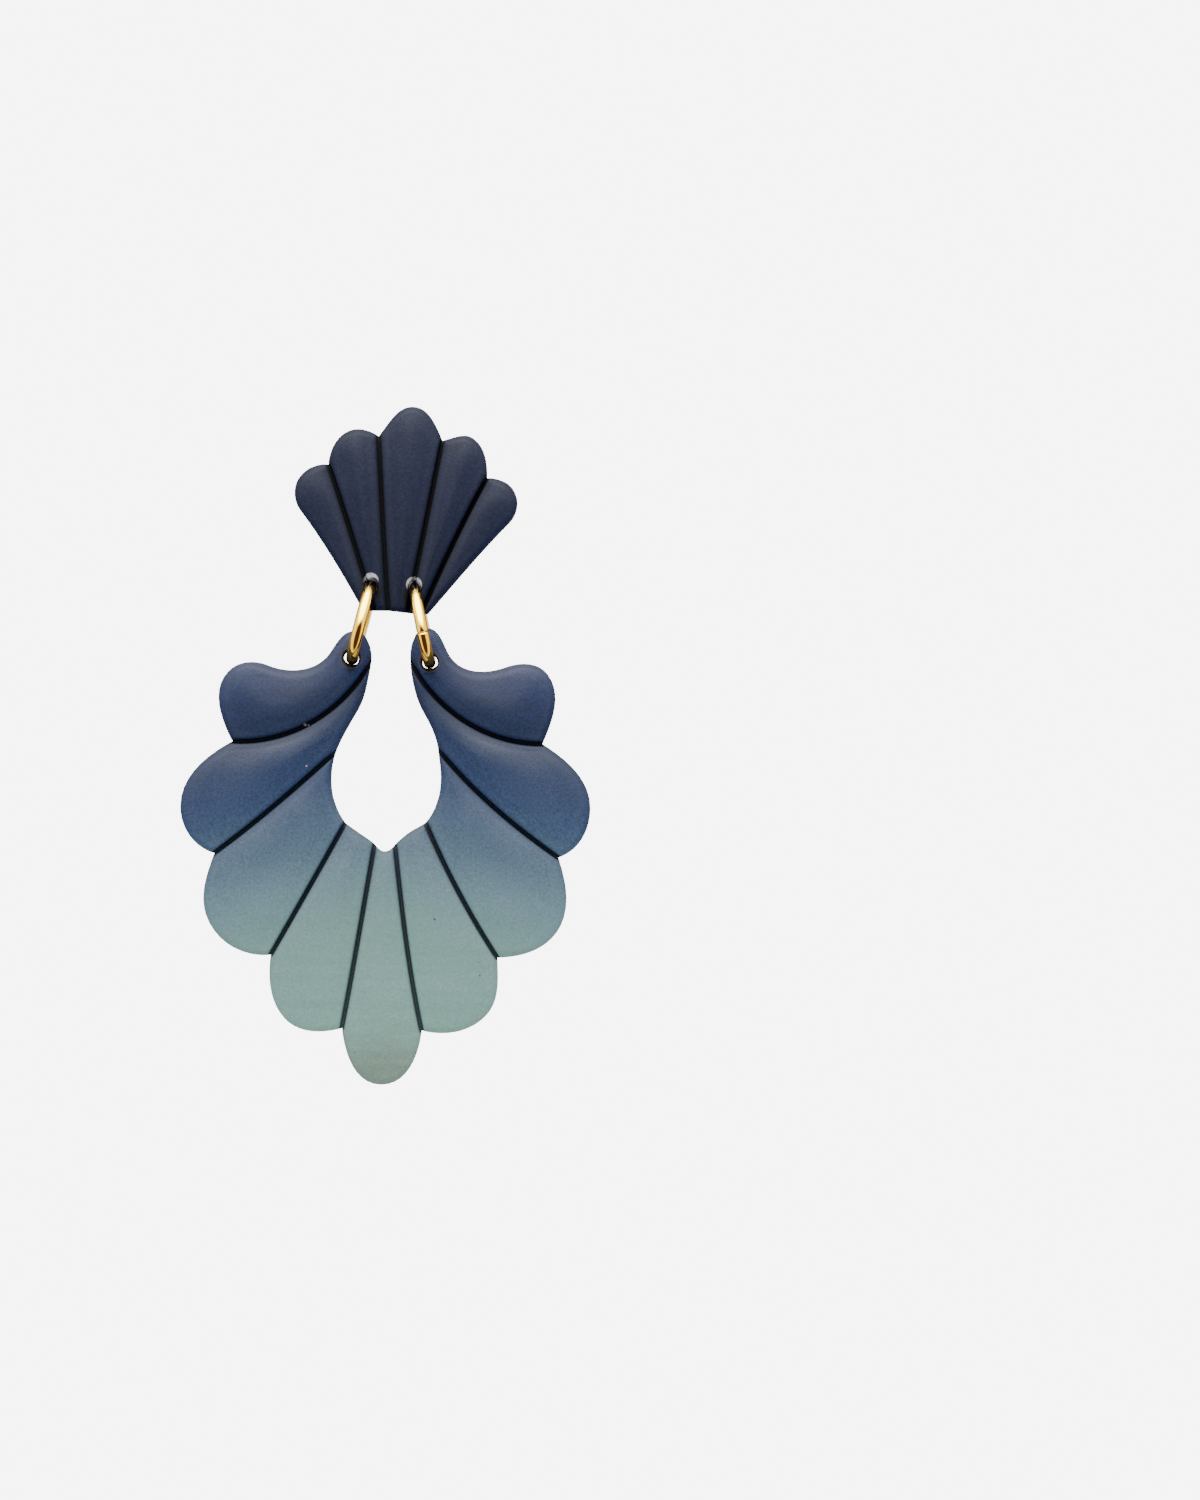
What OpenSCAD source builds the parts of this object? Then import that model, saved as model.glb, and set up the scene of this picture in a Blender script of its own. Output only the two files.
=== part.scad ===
/* [Clay] */
// Thickness of the clay at the crown of a petal
clay_t = 2.6; // [2.4:0.1:3]
// Radius that rounds the front rim
rim_r = 1.1; // [0.8:0.1:1.3]
// Easing of the back edge
back_ease = 0.2; // [0.1:0.05:0.3]
// Width of a pressed groove
groove_w = 0.7; // [0.5:0.05:0.9]
// Depth of a pressed groove below its shoulders
groove_d = 1; // [0.6:0.1:1.1]
// Fall of the soft shoulder beside a groove and inside the rim
pillow_h = 0.3; // [0.1:0.05:0.4]
// Distance over which that shoulder fades
pillow_w = 0.9; // [0.5:0.1:1.2]

/* [Rings] */
// Outer diameter of a jump ring
ring_od = 8; // [7.9:0.05:8.1]
// Diameter of the ring wire
wire_d = 1.05; // [0.9:0.05:1.1]
// Gap of the butt seam where a ring closes
seam_gap = 0.05; // [0.03:0.01:0.1]
// Diameter of the holes drilled for the rings
hole_d = 1.7; // [1.65:0.05:1.8]
// Depth and width of the flare at each mouth of a hole
hole_flare = 0.25; // [0.2:0.05:0.35]
// Distance from the middle of a ring to the middle of each hole it passes
hole_reach = 3.5; // [3.5:0.01:3.56]

/* [Ear post] */
// Diameter of the post
post_d = 0.8; // [0.7:0.05:1]
// Length of the post behind its pad
post_len = 11; // [9:0.5:12]
// Diameter of the pad
pad_d = 5; // [4:0.5:6]
// Thickness of the pad
pad_t = 0.5; // [0.4:0.05:0.6]
// Line of glue between the pad and the clay
glue_gap = 0.05; // [0.03:0.01:0.1]

/* [Hidden] */

// The frame has its origin on the axis of the post, where the post leaves the pad. X is to the right, Z is
// up and the front faces -Y. Tables hold places as x and z in millimetres, and headings in degrees from +X
// towards +Z.
clay_back = -(pad_t + glue_gap);
wire_r = wire_d / 2;
ring_r = ring_od / 2 - wire_r;
ring_y = clay_back - clay_t / 2;

// Rings: middle x, middle z, lean of the top towards +X, angle of the seam down from the front of the ring
RING_LEFT = [-3.3, -10.7, 14.8, 200];
RING_RIGHT = [2, -11, -11.1, 12];

// A plate of clay is a row of petals side by side. Lines part one petal from the next. The first and the
// last are free edges, and the others are grooves.
// Lines of the drop, from the upper left round the bottom to the upper right:
// root x, root z, heading there, cusp x, cusp z, heading there
DROP_LINES = [
    [-6.1, -13.45, 236, -11.7, -14.6, 158],
    [-2.5, -14.25, 242, -14.8, -21.35, 177],
    [-5.65, -22.3, 222, -16.4, -31.25, 216],
    [-4.8, -28.6, 241, -11.4, -40.25, 240],
    [-2.2, -30.5, 260, -5.1, -46.75, 259],
    [-0.4, -30.5, 276, 1.95, -46.95, 282],
    [2.3, -28.55, 293, 8.65, -40.5, 303],
    [3.4, -22.05, 309, 14.05, -31.65, 325],
    [0.95, -14.25, 297, 12.65, -21.6, 360],
    [4.45, -13.8, 303, 9.4, -14.8, 380]
];
// Round ends of its petals: heading at the first cusp, middle x, middle z, heading there, heading at the
// next cusp
DROP_ENDS = [
    [158, -15.15, -15.15, 226, 297],
    [208, -19.4, -27.1, 270, 344],
    [250, -17.15, -36.65, 288, 366],
    [262, -10.2, -45.85, 312, 375],
    [276, -1.6, -51.75, 360, 444],
    [345, 7.7, -45.6, 407, 452],
    [360, 13.9, -38.3, 414, 469],
    [377, 16.9, -27.25, 450, 508],
    [426, 13.1, -15.4, 488, 560]
];
// Roots of its petals, along the window and over the two tips, in the same columns
DROP_ROOTS = [
    [56, -4.05, -11.6, 0, -93],
    [259, -3.7, -18.6, 240, 249],
    [250, -6.05, -24.8, 270, 308],
    [322, -3.25, -29.7, 326, 314],
    [308, -1.35, -31.1, 360, 412],
    [407, 0.8, -29.45, 396, 396],
    [408, 3.65, -24.6, 450, 457],
    [457, 2.2, -18.95, 480, 453],
    [452, 2.5, -11.35, 360, 303]
];

// Lines of the fan, from its right edge over the top to its left edge, in the columns of the drop's lines
FAN_LINES = [
    [2.5, -10.1, 49, 9.65, -2.1, 45],
    [1.9, -10.1, 66, 7.75, 1.95, 61],
    [0.7, -10, 78, 3.8, 5.25, 79],
    [-1, -9.8, 94, -1.85, 5.65, 93],
    [-2.2, -9.8, 107, -6.3, 3.15, 109],
    [-3.25, -9.75, 119, -8.8, -0.9, 127]
];
// Round ends of its ribs, in the columns of the drop's ends
FAN_ENDS = [
    [45, 10.05, 0.95, 125, 180],
    [88, 6.45, 5.5, 148, 192],
    [112, 1.15, 8.25, 180, 230],
    [144, -4.8, 5.95, 212, 265],
    [174, -8.75, 2.15, 230, 304]
];

// Grid of a petal: distance of each column from the groove, then columns spread evenly to the middle
COLUMN_STEPS = [0, groove_w / 4, groove_w / 2, 0.8];
SPREAD_COLUMNS = 5;
// Distance of each row from the rim, then rows spread evenly between the two ends
ROW_STEPS = [0, 0.12, 0.35, 0.8];
DROP_SPREAD_ROWS = 7;
FAN_SPREAD_ROWS = 4;
// Most of the way from the rim to the next point that the layers along the rim take up
LAYERS_SHARE = 0.55;
// How fast the bow of a petal's root and of its end fades along the petal
BOW_FADE = 5;
// Times that the points between the layers are drawn towards the middle of their neighbours
EVEN_TIMES = 1;
// Distance from a groove at which layers begin to follow the rim, and at which they follow it closely
FOLLOW_FROM = 0.8;
FOLLOW_TO = 2;
// Steps along each curve where the distance to it is measured
CURVE_STEPS = 24;
// Step along a line, as a share of it, that gives its direction
LINE_STEP = 0.02;
// Least squareness of a row to a line that sets its columns further apart
LEAST_SQUARE = 0.4;
// Most of a petal's width that the columns within a groove's width of it take up
MOST_NEAR = 0.08;
ROUND_FN = 48;

function root(line) = [line[0], line[1]];
function cusp(line) = [line[3], line[4]];
function middle(arc) = [arc[1], arc[2]];
function heading(a) = [cos(a), sin(a)];
function turn(a, b) = abs(b - a - 360 * round((b - a) / 360));

// Reach of the handles that make a curve of this chord and turn an arc of a circle
function reach(chord, bend) = bend < 1 ? chord / 3 : chord * 2 / 3 * tan(bend / 4) / sin(bend / 2);

// Point at t on the curve that leaves p at heading a and arrives at q at heading b
function curve(p, a, q, b, t) =
    let (r = reach(norm(q - p), turn(a, b)))
    let (s = 1 - t)
    s * s * s * p
    + 3 * s * s * t * (p + r * heading(a))
    + 3 * s * t * t * (q - r * heading(b))
    + t * t * t * q;

function on_line(line, v) = curve(root(line), line[2], cusp(line), line[5], v);

// Point at u on the two curves that run from p by the middle of the arc to q
function on_arc(p, arc, q, u) =
    u < 0.5
        ? curve(p, arc[0], middle(arc), arc[3], 2 * u)
        : curve(middle(arc), arc[3], q, arc[4], 2 * u - 1);

function on_root(plate, k, u) = on_arc(root(plate[0][k]), plate[2][k], root(plate[0][k + 1]), u);
function on_end(plate, k, u) = on_arc(cusp(plate[0][k]), plate[1][k], cusp(plate[0][k + 1]), u);

// Roots of the fan's ribs: straight stretches of its base from one line to the next
function straight(p, q) =
    let (a = atan2(q[1] - p[1], q[0] - p[0]))
    [a, (p[0] + q[0]) / 2, (p[1] + q[1]) / 2, a, a];
FAN_ROOTS = [for (k = [0 : len(FAN_ENDS) - 1]) straight(root(FAN_LINES[k]), root(FAN_LINES[k + 1]))];

DROP = [DROP_LINES, DROP_ENDS, DROP_ROOTS];
FAN = [FAN_LINES, FAN_ENDS, FAN_ROOTS];

// Point of petal k at u across and v from root to end: between its two lines, bowed near each end as that
// end is
function on_petal(plate, k, u, v) =
    let (a = plate[0][k], b = plate[0][k + 1])
    let (root_bow = on_root(plate, k, u) - (1 - u) * root(a) - u * root(b))
    let (end_bow = on_end(plate, k, u) - (1 - u) * cusp(a) - u * cusp(b))
    (1 - u) * on_line(a, v) + u * on_line(b, v)
    + pow(1 - v, BOW_FADE) * root_bow + pow(v, BOW_FADE) * end_bow;

// How squarely a row of petal k meets its line at v: 1 at a right angle, less at a slant
function square_to(line, across, v) =
    let (along = on_line(line, v + LINE_STEP) - on_line(line, v - LINE_STEP))
    max(LEAST_SQUARE, abs(along[0] * across[1] - along[1] * across[0]) / norm(along) / norm(across));

COLUMN_COUNT = 2 * (len(COLUMN_STEPS) - 1 + SPREAD_COLUMNS);

// Place across petal k, from 0 to 1, of column j at height v
function column_at(plate, k, j, v) =
    j > COLUMN_COUNT / 2
        ? 1 - half_column(plate[0][k + 1], plate[0][k], COLUMN_COUNT - j, v)
        : half_column(plate[0][k], plate[0][k + 1], j, v);
function half_column(line, other, j, v) =
    let (across = on_line(other, v) - on_line(line, v))
    let (last = len(COLUMN_STEPS) - 1)
    let (span = square_to(line, across, v) * norm(across))
    let (near = [for (s = COLUMN_STEPS) min(s / span, MOST_NEAR * s / groove_w)])
    j <= last ? near[j] : near[last] + (0.5 - near[last]) * (j - last) / SPREAD_COLUMNS;

// Place from root to end, from 0 to 1, of row i on a stretch of this length
function row_at(i, rows, length) =
    let (last = len(ROW_STEPS) - 1)
    let (edge = ROW_STEPS[last] / length)
    i <= last ? ROW_STEPS[i] / length
    : i >= rows - last ? 1 - ROW_STEPS[rows - i] / length
    : edge + (1 - 2 * edge) * (i - last) / (rows - 2 * last);

// Grid point of a plate in column c and row i
function grid_point(plate, rows, c, i) =
    let (k = min(floor(c / COLUMN_COUNT), len(plate[1]) - 1))
    let (j = c - k * COLUMN_COUNT)
    let (v0 = i / rows)
    let (u0 = column_at(plate, k, j, v0))
    let (v = row_at(i, rows, norm(on_end(plate, k, u0) - on_root(plate, k, u0))))
    on_petal(plate, k, column_at(plate, k, j, v), v);

// Curves of a plate as chains of short pieces, the rim's with the clay on their left
function chain(points) = [for (i = [0 : len(points) - 2]) [points[i], points[i + 1]]];
function turned(pieces) = [for (s = pieces) [s[1], s[0]]];
function line_chain(line) = chain([for (i = [0 : CURVE_STEPS]) on_line(line, i / CURVE_STEPS)]);
function rim_chain(plate) =
    let (last = len(plate[1]) - 1)
    [
        for (k = [0 : last])
            each chain([for (i = [0 : CURVE_STEPS]) on_end(plate, k, i / CURVE_STEPS)]),
        for (k = [0 : last])
            each turned(chain([for (i = [0 : CURVE_STEPS]) on_root(plate, k, i / CURVE_STEPS)])),
        each line_chain(plate[0][0]),
        each turned(line_chain(plate[0][last + 1]))
    ];
function foot_on(p, piece) =
    let (d = piece[1] - piece[0])
    piece[0] + max(0, min(1, (p - piece[0]) * d / (d * d))) * d;
function distance(p, pieces) = min([for (s = pieces) norm(p - foot_on(p, s))]);

// Point at distance e inside the rim, straight in from the part of the rim nearest to p
function inside_rim(p, rim, e) =
    let (gaps = [for (s = rim) norm(p - foot_on(p, s))])
    let (s = rim[search(min(gaps), gaps)[0]])
    let (d = s[1] - s[0])
    foot_on(p, s) + e * [-d[1], d[0]] / norm(d);

// Point of a layer moved to its layer's distance from the rim, if it is well away from a groove. The next
// point further in, past the layers, keeps them closer where the clay is narrow
function layered(p, layer, next, rim, grooves) =
    let (room = LAYERS_SHARE * distance(next, rim) / ROW_STEPS[len(ROW_STEPS) - 1])
    let (follow = (distance(p, grooves) - FOLLOW_FROM) / (FOLLOW_TO - FOLLOW_FROM))
    let (w = max(0, min(1, follow)))
    w == 0 ? p : (1 - w) * p + w * inside_rim(p, rim, ROW_STEPS[layer] * min(1, room));

// Grid whose points between the layers and the columns beside grooves are drawn towards the middle of
// their neighbours
function evened(grid, times) =
    let (rows = len(grid) - 1)
    let (columns = len(grid[0]) - 1)
    times == 0 ? grid : evened([
        for (i = [0 : rows]) [
            for (c = [0 : columns])
                held(i, rows, c, columns)
                    ? grid[i][c]
                    : (grid[i - 1][c] + grid[i + 1][c] + grid[i][c - 1] + grid[i][c + 1]) / 4
        ]
    ], times - 1);
function held(i, rows, c, columns) =
    let (last = len(ROW_STEPS) - 1)
    let (j = c % COLUMN_COUNT)
    min(i, rows - i, c, columns - c, j, COLUMN_COUNT - j) <= last;

// Fall of the front face below the crown, at distance e from the rim and d from the nearest groove
function rim_fall(e) = e >= rim_r ? 0 : rim_r - sqrt(rim_r * rim_r - (rim_r - e) * (rim_r - e));
function groove_fall(d) = groove_d * max(0, 1 - 2 * d / groove_w);
function fall(e, d) = norm([rim_fall(e), groove_fall(d)]) + pillow_h * exp(-min(e, d) / pillow_w);

// Slab of clay with a pillowed front and a flat back
module clay_plate(plate, spread_rows) {
    petals = len(plate[1]);
    columns = petals * COLUMN_COUNT;
    rows = spread_rows + 2 * (len(ROW_STEPS) - 1);
    rim = rim_chain(plate);
    grooves = [for (k = [1 : petals - 1]) line_chain(plate[0][k])];
    function beside(c) =
        let (k = min(floor(c / COLUMN_COUNT), petals - 1))
        [if (k > 0) each grooves[k - 1], if (k < petals - 1) each grooves[k]];
    last = len(ROW_STEPS) - 1;
    function layer_of(i, c) = min(i, rows - i, c, columns - c);
    function next_in(grid, i, c) =
        grid[max(last + 1, min(rows - last - 1, i))][max(last + 1, min(columns - last - 1, c))];
    drawn = [for (i = [0 : rows]) [for (c = [0 : columns]) grid_point(plate, rows, c, i)]];
    grid = evened([
        for (i = [0 : rows]) [
            for (c = [0 : columns])
                let (p = drawn[i][c], layer = layer_of(i, c))
                layer == 0 || layer > last ? p : layered(p, layer, next_in(drawn, i, c), rim, beside(c))
        ]
    ], EVEN_TIMES);

    // Height of the front face over the back at each grid point
    front = [
        for (i = [0 : rows]) for (c = [0 : columns])
            let (p = grid[i][c])
            let (on_rim = layer_of(i, c) == 0)
            let (on_groove = c % COLUMN_COUNT == 0 && c > 0 && c < columns)
            let (e = on_rim ? 0 : distance(p, rim))
            let (d = on_groove ? 0 : distance(p, beside(c)))
            [p[0], clay_back - clay_t + fall(e, d), p[1]]
    ];
    // The back is the same grid, with the layers along its edges drawn in a little
    back = [
        for (i = [0 : rows]) for (c = [0 : columns])
            let (p = grid[i][c])
            let (layer = layer_of(i, c))
            let (way = next_in(grid, i, c) - p)
            let (ease = layer > last ? 0 : back_ease * (1 - ROW_STEPS[layer] / ROW_STEPS[last]) / norm(way))
            let (b = p + min(ease, 1 / 4) * way)
            [b[0], clay_back, b[1]]
    ];
    // The outline once round, at the foot of the side wall
    loop = [
        for (c = [0 : columns]) [0, c],
        for (i = [1 : rows]) [i, columns],
        for (c = [columns - 1 : -1 : 0]) [rows, c],
        for (i = [rows - 1 : -1 : 1]) [i, 0]
    ];
    foot = [for (s = loop) let (p = grid[s[0]][s[1]]) [p[0], clay_back - back_ease, p[1]]];
    n = len(loop);
    size = len(front);
    function at(i, c) = i * (columns + 1) + c;
    // Corners of a cell, from the one that lies towards a corner of the grid or away from it
    function cell(i, c) =
        let (corners = [at(i, c), at(i, c + 1), at(i + 1, c + 1), at(i + 1, c)])
        (i < rows / 2) == (c < columns / 2) ? corners : [corners[1], corners[2], corners[3], corners[0]];
    faces = [
        for (i = [0 : rows - 1]) for (c = [0 : columns - 1])
            let (s = cell(i, c))
            each two(s[0], s[1], s[2], s[3]),
        for (i = [0 : rows - 1]) for (c = [0 : columns - 1])
            let (s = cell(i, c))
            each two(size + s[0], size + s[3], size + s[2], size + s[1]),
        for (s = [0 : n - 1])
            let (a = at(loop[s][0], loop[s][1]), b = at(loop[(s + 1) % n][0], loop[(s + 1) % n][1]))
            let (fa = 2 * size + s, fb = 2 * size + (s + 1) % n)
            each concat(two(a, fa, fb, b), two(fa, size + a, size + b, fb))
    ];
    polyhedron(points = concat(front, back, foot), faces = faces, convexity = 10);
}

// Two triangles that fill four corners
function two(a, b, c, d) = [[a, b, c], [a, c, d]];

// Middle of the hole that a ring passes above (side 1) or below (side -1) its own middle
function hole_at(ring, side) = [ring[0], ring[1]] + side * hole_reach * [sin(ring[2]), cos(ring[2])];

// Drill for one hole, flared at both faces of the clay
module drill(place) {
    r = hole_d / 2;
    over = 0.5;
    profile = [
        [0, -over],
        [r + hole_flare + over, -over],
        [r, hole_flare],
        [r, clay_t - hole_flare],
        [r + hole_flare + over, clay_t + over],
        [0, clay_t + over]
    ];
    translate([place[0], clay_back, place[1]])
        rotate([90, 0, 0])
            rotate_extrude($fn = ROUND_FN)
                polygon(profile);
}

// Round wire bent to a ring, standing across the clay, with a narrow seam
module ring(row) {
    seam_turn = seam_gap / ring_r * 180 / PI;
    translate([row[0], ring_y, row[1]])
        rotate([0, row[2], 0])
            rotate([0, -90, 0])
                rotate([0, 0, 270 - row[3] + seam_turn / 2])
                    rotate_extrude(angle = 360 - seam_turn, $fn = 2 * ROUND_FN)
                        translate([ring_r, 0])
                            circle(r = wire_r, $fn = ROUND_FN);
}

module fan() {
    color("#2f3950")
        difference() {
            clay_plate(FAN, FAN_SPREAD_ROWS);
            drill(hole_at(RING_LEFT, 1));
            drill(hole_at(RING_RIGHT, 1));
        }
}

module drop() {
    color("#6d8493")
        difference() {
            clay_plate(DROP, DROP_SPREAD_ROWS);
            drill(hole_at(RING_LEFT, -1));
            drill(hole_at(RING_RIGHT, -1));
        }
}

// Flat pad and round post in one, with a rounded tip
module ear_post() {
    post_r = post_d / 2;
    pad_r = pad_d / 2;
    pad_edge = 0.1;
    tip = post_r / 2;
    profile = [
        [0, -pad_t],
        [pad_r, -pad_t],
        [pad_r, -pad_edge],
        [pad_r - pad_edge, 0],
        [post_r, 0],
        [post_r, post_len - tip],
        [post_r - tip, post_len],
        [0, post_len]
    ];
    color("#b9bcc0")
        rotate([-90, 0, 0])
            rotate_extrude($fn = ROUND_FN)
                polygon(profile);
}

module ring_left() {
    color("#d9b36a")
        ring(RING_LEFT);
}

module ring_right() {
    color("#d9b36a")
        ring(RING_RIGHT);
}

fan();
ear_post();
ring_left();
ring_right();
drop();
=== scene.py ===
import math
from collections import namedtuple

import bmesh
import bpy
import numpy as np
from mathutils import Euler, Matrix, Vector, noise


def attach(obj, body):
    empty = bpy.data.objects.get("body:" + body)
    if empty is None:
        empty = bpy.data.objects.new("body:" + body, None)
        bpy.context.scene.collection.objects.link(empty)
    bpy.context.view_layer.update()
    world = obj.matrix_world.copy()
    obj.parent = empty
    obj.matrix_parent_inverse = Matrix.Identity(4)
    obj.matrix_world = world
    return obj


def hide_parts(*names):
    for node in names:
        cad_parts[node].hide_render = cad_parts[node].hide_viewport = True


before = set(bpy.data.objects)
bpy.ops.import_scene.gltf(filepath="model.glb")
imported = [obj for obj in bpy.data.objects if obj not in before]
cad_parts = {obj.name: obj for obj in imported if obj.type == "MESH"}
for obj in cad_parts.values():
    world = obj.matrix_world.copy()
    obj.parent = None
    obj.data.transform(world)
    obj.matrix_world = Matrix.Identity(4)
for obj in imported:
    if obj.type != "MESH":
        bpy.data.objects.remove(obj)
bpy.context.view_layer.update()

# View
# The earring hangs in a plain white studio. The camera looks straight at it, level, through a long lens.
# One large soft light stands above and in front, and the white room gives the rest.
MM = 0.001
PIXEL = 0.0885 * MM
# The photo's size and the place of the earring's origin in it, in pixels
PHOTO_WIDE = 1200
PHOTO_HIGH = 1500
ORIGIN_ACROSS = 399.5
ORIGIN_DOWN = 500
# Depth of the middle of the clay, in mm
CLAY_MIDDLE = -1.85
LENS = 150
SENSOR = 36
camera_data = bpy.data.cameras.new("camera")
camera_data.lens = LENS
camera_data.sensor_width = SENSOR
camera = bpy.data.objects.new("camera", camera_data)
camera.location = (
    (PHOTO_WIDE / 2 - ORIGIN_ACROSS) * PIXEL,
    CLAY_MIDDLE * MM - PHOTO_HIGH * PIXEL * LENS / SENSOR,
    (ORIGIN_DOWN - PHOTO_HIGH / 2) * PIXEL,
)
camera.rotation_euler = Euler((math.pi / 2, 0, 0))
bpy.context.scene.collection.objects.link(camera)
bpy.context.scene.camera = camera

# The light gives only a sheen, and only to the matte clay
EARRING_MIDDLE = Vector((0, 0, -0.02))
light_data = bpy.data.lights.new("light_above", "AREA")
light_data.shape = "SQUARE"
light_data.size = 0.34
light_data.energy = 79
light_above = bpy.data.objects.new("light_above", light_data)
light_above.location = (-0.03, -0.22, 0.47)
light_above.rotation_euler = (EARRING_MIDDLE - light_above.location).to_track_quat("-Z", "Y").to_euler()
light_above.visible_diffuse = False
bpy.context.scene.collection.objects.link(light_above)
matte = bpy.data.collections.new("matte")
light_above.light_linking.receiver_collection = matte


def feed(tree, value, entry):
    """Set this input to a value, or link it where the value is another node's output."""
    if isinstance(value, bpy.types.NodeSocket):
        tree.links.new(value, entry)
    else:
        entry.default_value = value


def add(tree, kind, **values):
    """A node of this kind, with its settings and its inputs fed by name."""
    node = tree.nodes.new(kind)
    for name, value in values.items():
        if hasattr(node, name):
            setattr(node, name, value)
        else:
            feed(tree, value, node.inputs[name.replace("_", " ")])
    return node


def reckon(tree, operation, *values, **settings):
    """Result of this operation on these values."""
    node = add(tree, "ShaderNodeMath", operation=operation, **settings)
    for value, entry in zip(values, node.inputs):
        feed(tree, value, entry)
    return node.outputs["Value"]


def mapped(tree, value, start, end, interpolation="LINEAR"):
    """This value, with the range of start carried over to the range of end."""
    node = add(tree, "ShaderNodeMapRange", interpolation_type=interpolation, Value=value)
    for name, limit in zip(("From Min", "From Max", "To Min", "To Max"), (*start, *end)):
        feed(tree, limit, node.inputs[name])
    return node.outputs["Result"]


def ramp(tree, factor, stops):
    """A colour ramp with stops of (place, colour)."""
    node = add(tree, "ShaderNodeValToRGB", Fac=factor)
    elements = node.color_ramp.elements
    while len(elements) < len(stops):
        elements.new(0.5)
    for element, (place, colour) in zip(elements, stops):
        element.position = place
        element.color = (*colour, 1)
    return node.outputs["Color"]


world = bpy.data.worlds.new("studio")
bpy.context.scene.world = world
world.use_nodes = True
studio = world.node_tree
studio.nodes.clear()
toward = add(studio, "ShaderNodeTexCoord").outputs["Generated"]
upward = add(studio, "ShaderNodeSeparateXYZ", Vector=toward).outputs["Z"]


def height_of_room(low, high):
    """A value that climbs from the room's floor to its ceiling."""
    return mapped(studio, upward, (-1, 1), (low, high))


def patch_of_room(middle, inner, outer, there, elsewhere):
    """One value within inner degrees of this direction in the room, and another beyond outer degrees."""
    dot = add(studio, "ShaderNodeVectorMath", operation="DOT_PRODUCT")
    feed(studio, toward, dot.inputs[0])
    feed(studio, Vector(middle).normalized(), dot.inputs[1])
    edge = (math.cos(math.radians(outer)), math.cos(math.radians(inner)))
    return mapped(studio, dot.outputs["Value"], edge, (elsewhere, there), "SMOOTHSTEP")


def product_of(values):
    product = values[0]
    for value in values[1:]:
        product = reckon(studio, "MULTIPLY", product, value)
    return product


# Matte clay takes a soft even room, a little brighter in front
WHITE = (1, 1, 1, 1)
FRONT = (0, -1, -0.1)
strength = product_of([height_of_room(1.9, 3.0), patch_of_room(FRONT, 50, 110, there=1.0, elsewhere=0.75)])
even = add(studio, "ShaderNodeBackground", Color=WHITE, Strength=strength)

# Polished wire mirrors a sharper one: a wide window above the camera, the dark camera stand just below, and
# less light behind. Its dim places are tinted orange, and its window is a pale yellow.
WINDOW = (0, -1, 0.9)
CAMERA_STAND = (0.05, -1, -1)
CAMERA_SIDE = (0, -1, 0)
TINT_RANGE = 8
strength = product_of(
    [
        height_of_room(1.9, 2.4),
        patch_of_room(WINDOW, 34, 60, there=6.0, elsewhere=1.0),
        patch_of_room(CAMERA_STAND, 32, 54, there=0.05, elsewhere=1.0),
        patch_of_room(CAMERA_SIDE, 85, 130, there=1.0, elsewhere=0.15),
    ]
)
tints = [
    (0.0, (1.0, 0.35, 0.12)),
    (0.05, (1.0, 0.7, 0.5)),
    (0.125, (1.0, 0.97, 0.85)),
    (0.6, (0.92, 1.0, 0.62)),
]
tint = ramp(studio, reckon(studio, "DIVIDE", strength, TINT_RANGE), tints)
mirrored = add(studio, "ShaderNodeBackground", Color=tint, Strength=strength)

# The camera itself sees a plain white wall
WHITE_WALL = 7.0
white = add(studio, "ShaderNodeBackground", Color=WHITE, Strength=WHITE_WALL)
path = add(studio, "ShaderNodeLightPath")
light = even.outputs["Background"]
for kind, other in (("Is Singular Ray", mirrored), ("Is Camera Ray", white)):
    choice = add(studio, "ShaderNodeMixShader", Fac=path.outputs[kind])
    feed(studio, light, choice.inputs[1])
    feed(studio, other.outputs["Background"], choice.inputs[2])
    light = choice.outputs["Shader"]
add(studio, "ShaderNodeOutputWorld", Surface=light)

# Floor
# A round pale floor well below the earring, which fades out towards its edge. It stays below the main view.
FLOOR_R = 240
FLOOR_CLEAR_R = 80
FLOOR_DROP = 120


def new_material(name):
    """A new material, its nodes and its shader."""
    material = bpy.data.materials.new(name)
    material.use_nodes = True
    return material, material.node_tree, material.node_tree.nodes["Principled BSDF"]


def shown(bm, name):
    """Object in the scene of this bmesh, which is in mm."""
    bmesh.ops.scale(bm, verts=bm.verts, vec=(MM, MM, MM))
    mesh = bpy.data.meshes.new(name)
    bm.to_mesh(mesh)
    bm.free()
    piece = bpy.data.objects.new(name, mesh)
    bpy.context.scene.collection.objects.link(piece)
    return piece


pale, tree, shader = new_material("floor")
shader.inputs["Base Color"].default_value = (0.85, 0.85, 0.85, 1)
shader.inputs["Roughness"].default_value = 0.9
away = add(tree, "ShaderNodeVectorMath", operation="LENGTH")
feed(tree, add(tree, "ShaderNodeTexCoord").outputs["Object"], away.inputs[0])
fade = mapped(tree, away.outputs["Value"], (FLOOR_CLEAR_R * MM, FLOOR_R * MM), (1, 0), "SMOOTHSTEP")
# The polished wire mirrors the studio alone
mirror_ray = add(tree, "ShaderNodeLightPath").outputs["Is Singular Ray"]
feed(tree, reckon(tree, "SUBTRACT", fade, mirror_ray, use_clamp=True), shader.inputs["Alpha"])
bm = bmesh.new()
bmesh.ops.create_circle(bm, cap_ends=True, segments=96, radius=FLOOR_R)
floor = shown(bm, "floor")
floor.data.materials.append(pale)
floor.location.z = -FLOOR_DROP * MM

# Fan
# The stud top: one slab of dark navy polymer clay, cut as a fan of five ribs. Four grooves are pressed
# into it with a blade before baking, and two holes are drilled above its base for the rings.
CLAY_T = 2.6
CLAY_BACK = CLAY_MIDDLE + CLAY_T / 2
RIM_R = 0.6
GROOVE_DEPTH = 1.0
GROOVE_HALF = 0.19
BACK_EASE = 0.2
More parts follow.
